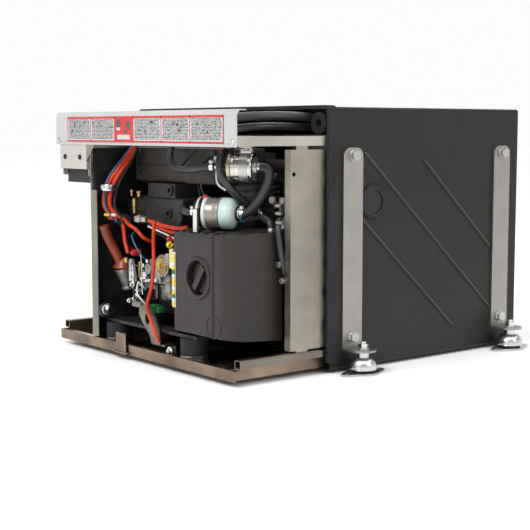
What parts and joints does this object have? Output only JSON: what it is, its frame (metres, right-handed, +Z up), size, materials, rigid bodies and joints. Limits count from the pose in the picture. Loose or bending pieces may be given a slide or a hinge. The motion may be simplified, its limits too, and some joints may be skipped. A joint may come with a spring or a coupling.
{
  "type": "vehicle generator set",
  "caption": "Slide-out petrol generator set for a vehicle: black steel case on four strap-hung vibration mounts, engine and alternator on a roller drawer.",
  "frame": {"origin": "on the floor, at the centre of the bolt pattern of the four feet", "axes": "+X to the right as seen from the drawer's front, +Y to the rear, +Z up"},
  "size_m": [0.554, 0.5578, 0.3662],
  "materials": {
    "case_paint": "textured matt powder coat",
    "black_rubber": "matt",
    "strap_steel": "brushed",
    "frame_steel": "brushed",
    "zinc": "bright zinc plate",
    "black_plastic": "matt",
    "panel_white": "satin",
    "label_sheet": "satin print",
    "foam": "open foam",
    "engine_black": "satin",
    "cast_alloy": "as cast",
    "shaft_steel": "machined",
    "copper": "enamelled wire",
    "silencer_grey": "heat-dulled",
    "airbox_plastic": "satin",
    "filter_paper": "pleated paper",
    "filter_plastic": "translucent",
    "clip_plastic": "satin",
    "hose_rubber": "satin",
    "lead_orange": "satin",
    "red_rubber": "satin",
    "connector_plastic": "satin"
  },
  "bodies": {
    "case": {"case_shell": "case_paint", "rear_panel": "case_paint", "side_plug": "black_rubber", "edge_seal": "black_rubber", "corner_ring": "black_rubber", "mounting_straps": "strap_steel", "strap_fasteners": "zinc", "foot_flanges": "zinc", "foot_rubbers": "black_rubber", "foot_domes": "zinc", "foot_studs": "zinc", "drawer_guides": "frame_steel"},
    "drawer": {"air_box_base": "airbox_plastic", "air_box_cover": "airbox_plastic", "air_filter": "filter_paper", "alternator_housing": "cast_alloy", "carburettor": "cast_alloy", "connectors": "connector_plastic", "control_bracket": "strap_steel", "cooling_duct": "engine_black", "crankcase": "cast_alloy", "cylinder": "cast_alloy", "cylinder_head": "cast_alloy", "divider": "frame_steel", "divider_lining": "foam", "engine_cradle": "engine_black", "engine_hoses": "hose_rubber", "engine_mounts": "black_rubber", "exhaust_pipes": "shaft_steel", "fan_housing": "engine_black", "filter_clamp": "clip_plastic", "fuel_filter": "filter_plastic", "fuel_pump": "zinc", "hose_clamps": "zinc", "inverter": "cast_alloy", "junction_cover": "frame_steel", "label_panel": "panel_white", "label_plate": "label_sheet", "leads": "lead_orange", "lower_rails": "frame_steel", "mount_seats": "zinc", "oil_filler": "red_rubber", "panel_screws": "zinc", "piston": "cast_alloy", "pump_strap": "zinc", "service_hoses": "hose_rubber", "side_panel": "frame_steel", "silencer": "silencer_grey", "starter_motor": "engine_black", "stator": "copper", "terminal_block": "black_plastic", "tray": "frame_steel", "upper_frame": "frame_steel", "wiring_loom": "lead_orange"},
    "case_rollers": {"case_rollers": "black_plastic"},
    "drawer_rollers": {"drawer_rollers": "black_plastic"},
    "crankshaft": {"crankshaft": "shaft_steel"},
    "air_box_knob": {"air_box_knob": "airbox_plastic"},
    "throttle_lever": {"throttle_lever": "zinc"},
    "front_latch": {"front_latch": "frame_steel"}
  },
  "joints": [
    {"name": "drawer_slide", "type": "slide", "parent": "case", "child": "drawer", "axis": [0, -1, 0], "range_m": [-0.148, 0.15]},
    {"name": "case_roller_spin", "type": "hinge", "parent": "case", "child": "case_rollers", "pos_m": [0, -0.1785, 0.0166], "axis": [1, 0, 0], "range_deg": [-1240, 1240]},
    {"name": "drawer_roller_spin", "type": "hinge", "parent": "drawer", "child": "drawer_rollers", "pos_m": [0, 0.0075, 0.0144], "axis": [1, 0, 0], "range_deg": [-1240, 1240]},
    {"name": "crank_spin", "type": "hinge", "parent": "drawer", "child": "crankshaft", "pos_m": [0, -0.1375, 0.116], "axis": [1, 0, 0], "continuous": true},
    {"name": "air_box_knob_turn", "type": "hinge", "parent": "drawer", "child": "air_box_knob", "pos_m": [0.125, -0.3275, 0.134], "axis": [0, 1, 0], "range_deg": [0, 90]},
    {"name": "throttle_lever_swing", "type": "hinge", "parent": "drawer", "child": "throttle_lever", "pos_m": [-0.082, -0.3115, 0.103], "axis": [0, 1, 0], "range_deg": [-5, 25]},
    {"name": "front_latch_hinge", "type": "hinge", "parent": "drawer", "child": "front_latch", "pos_m": [-0.045, -0.3551, 0.01], "axis": [1, 0, 0], "range_deg": [0, 95]}
  ],
  "couplings": [
    {"joint": "case_roller_spin", "follows": "drawer_slide", "rad_per_m": 142.86},
    {"joint": "drawer_roller_spin", "follows": "drawer_slide", "rad_per_m": 142.86}
  ]
}
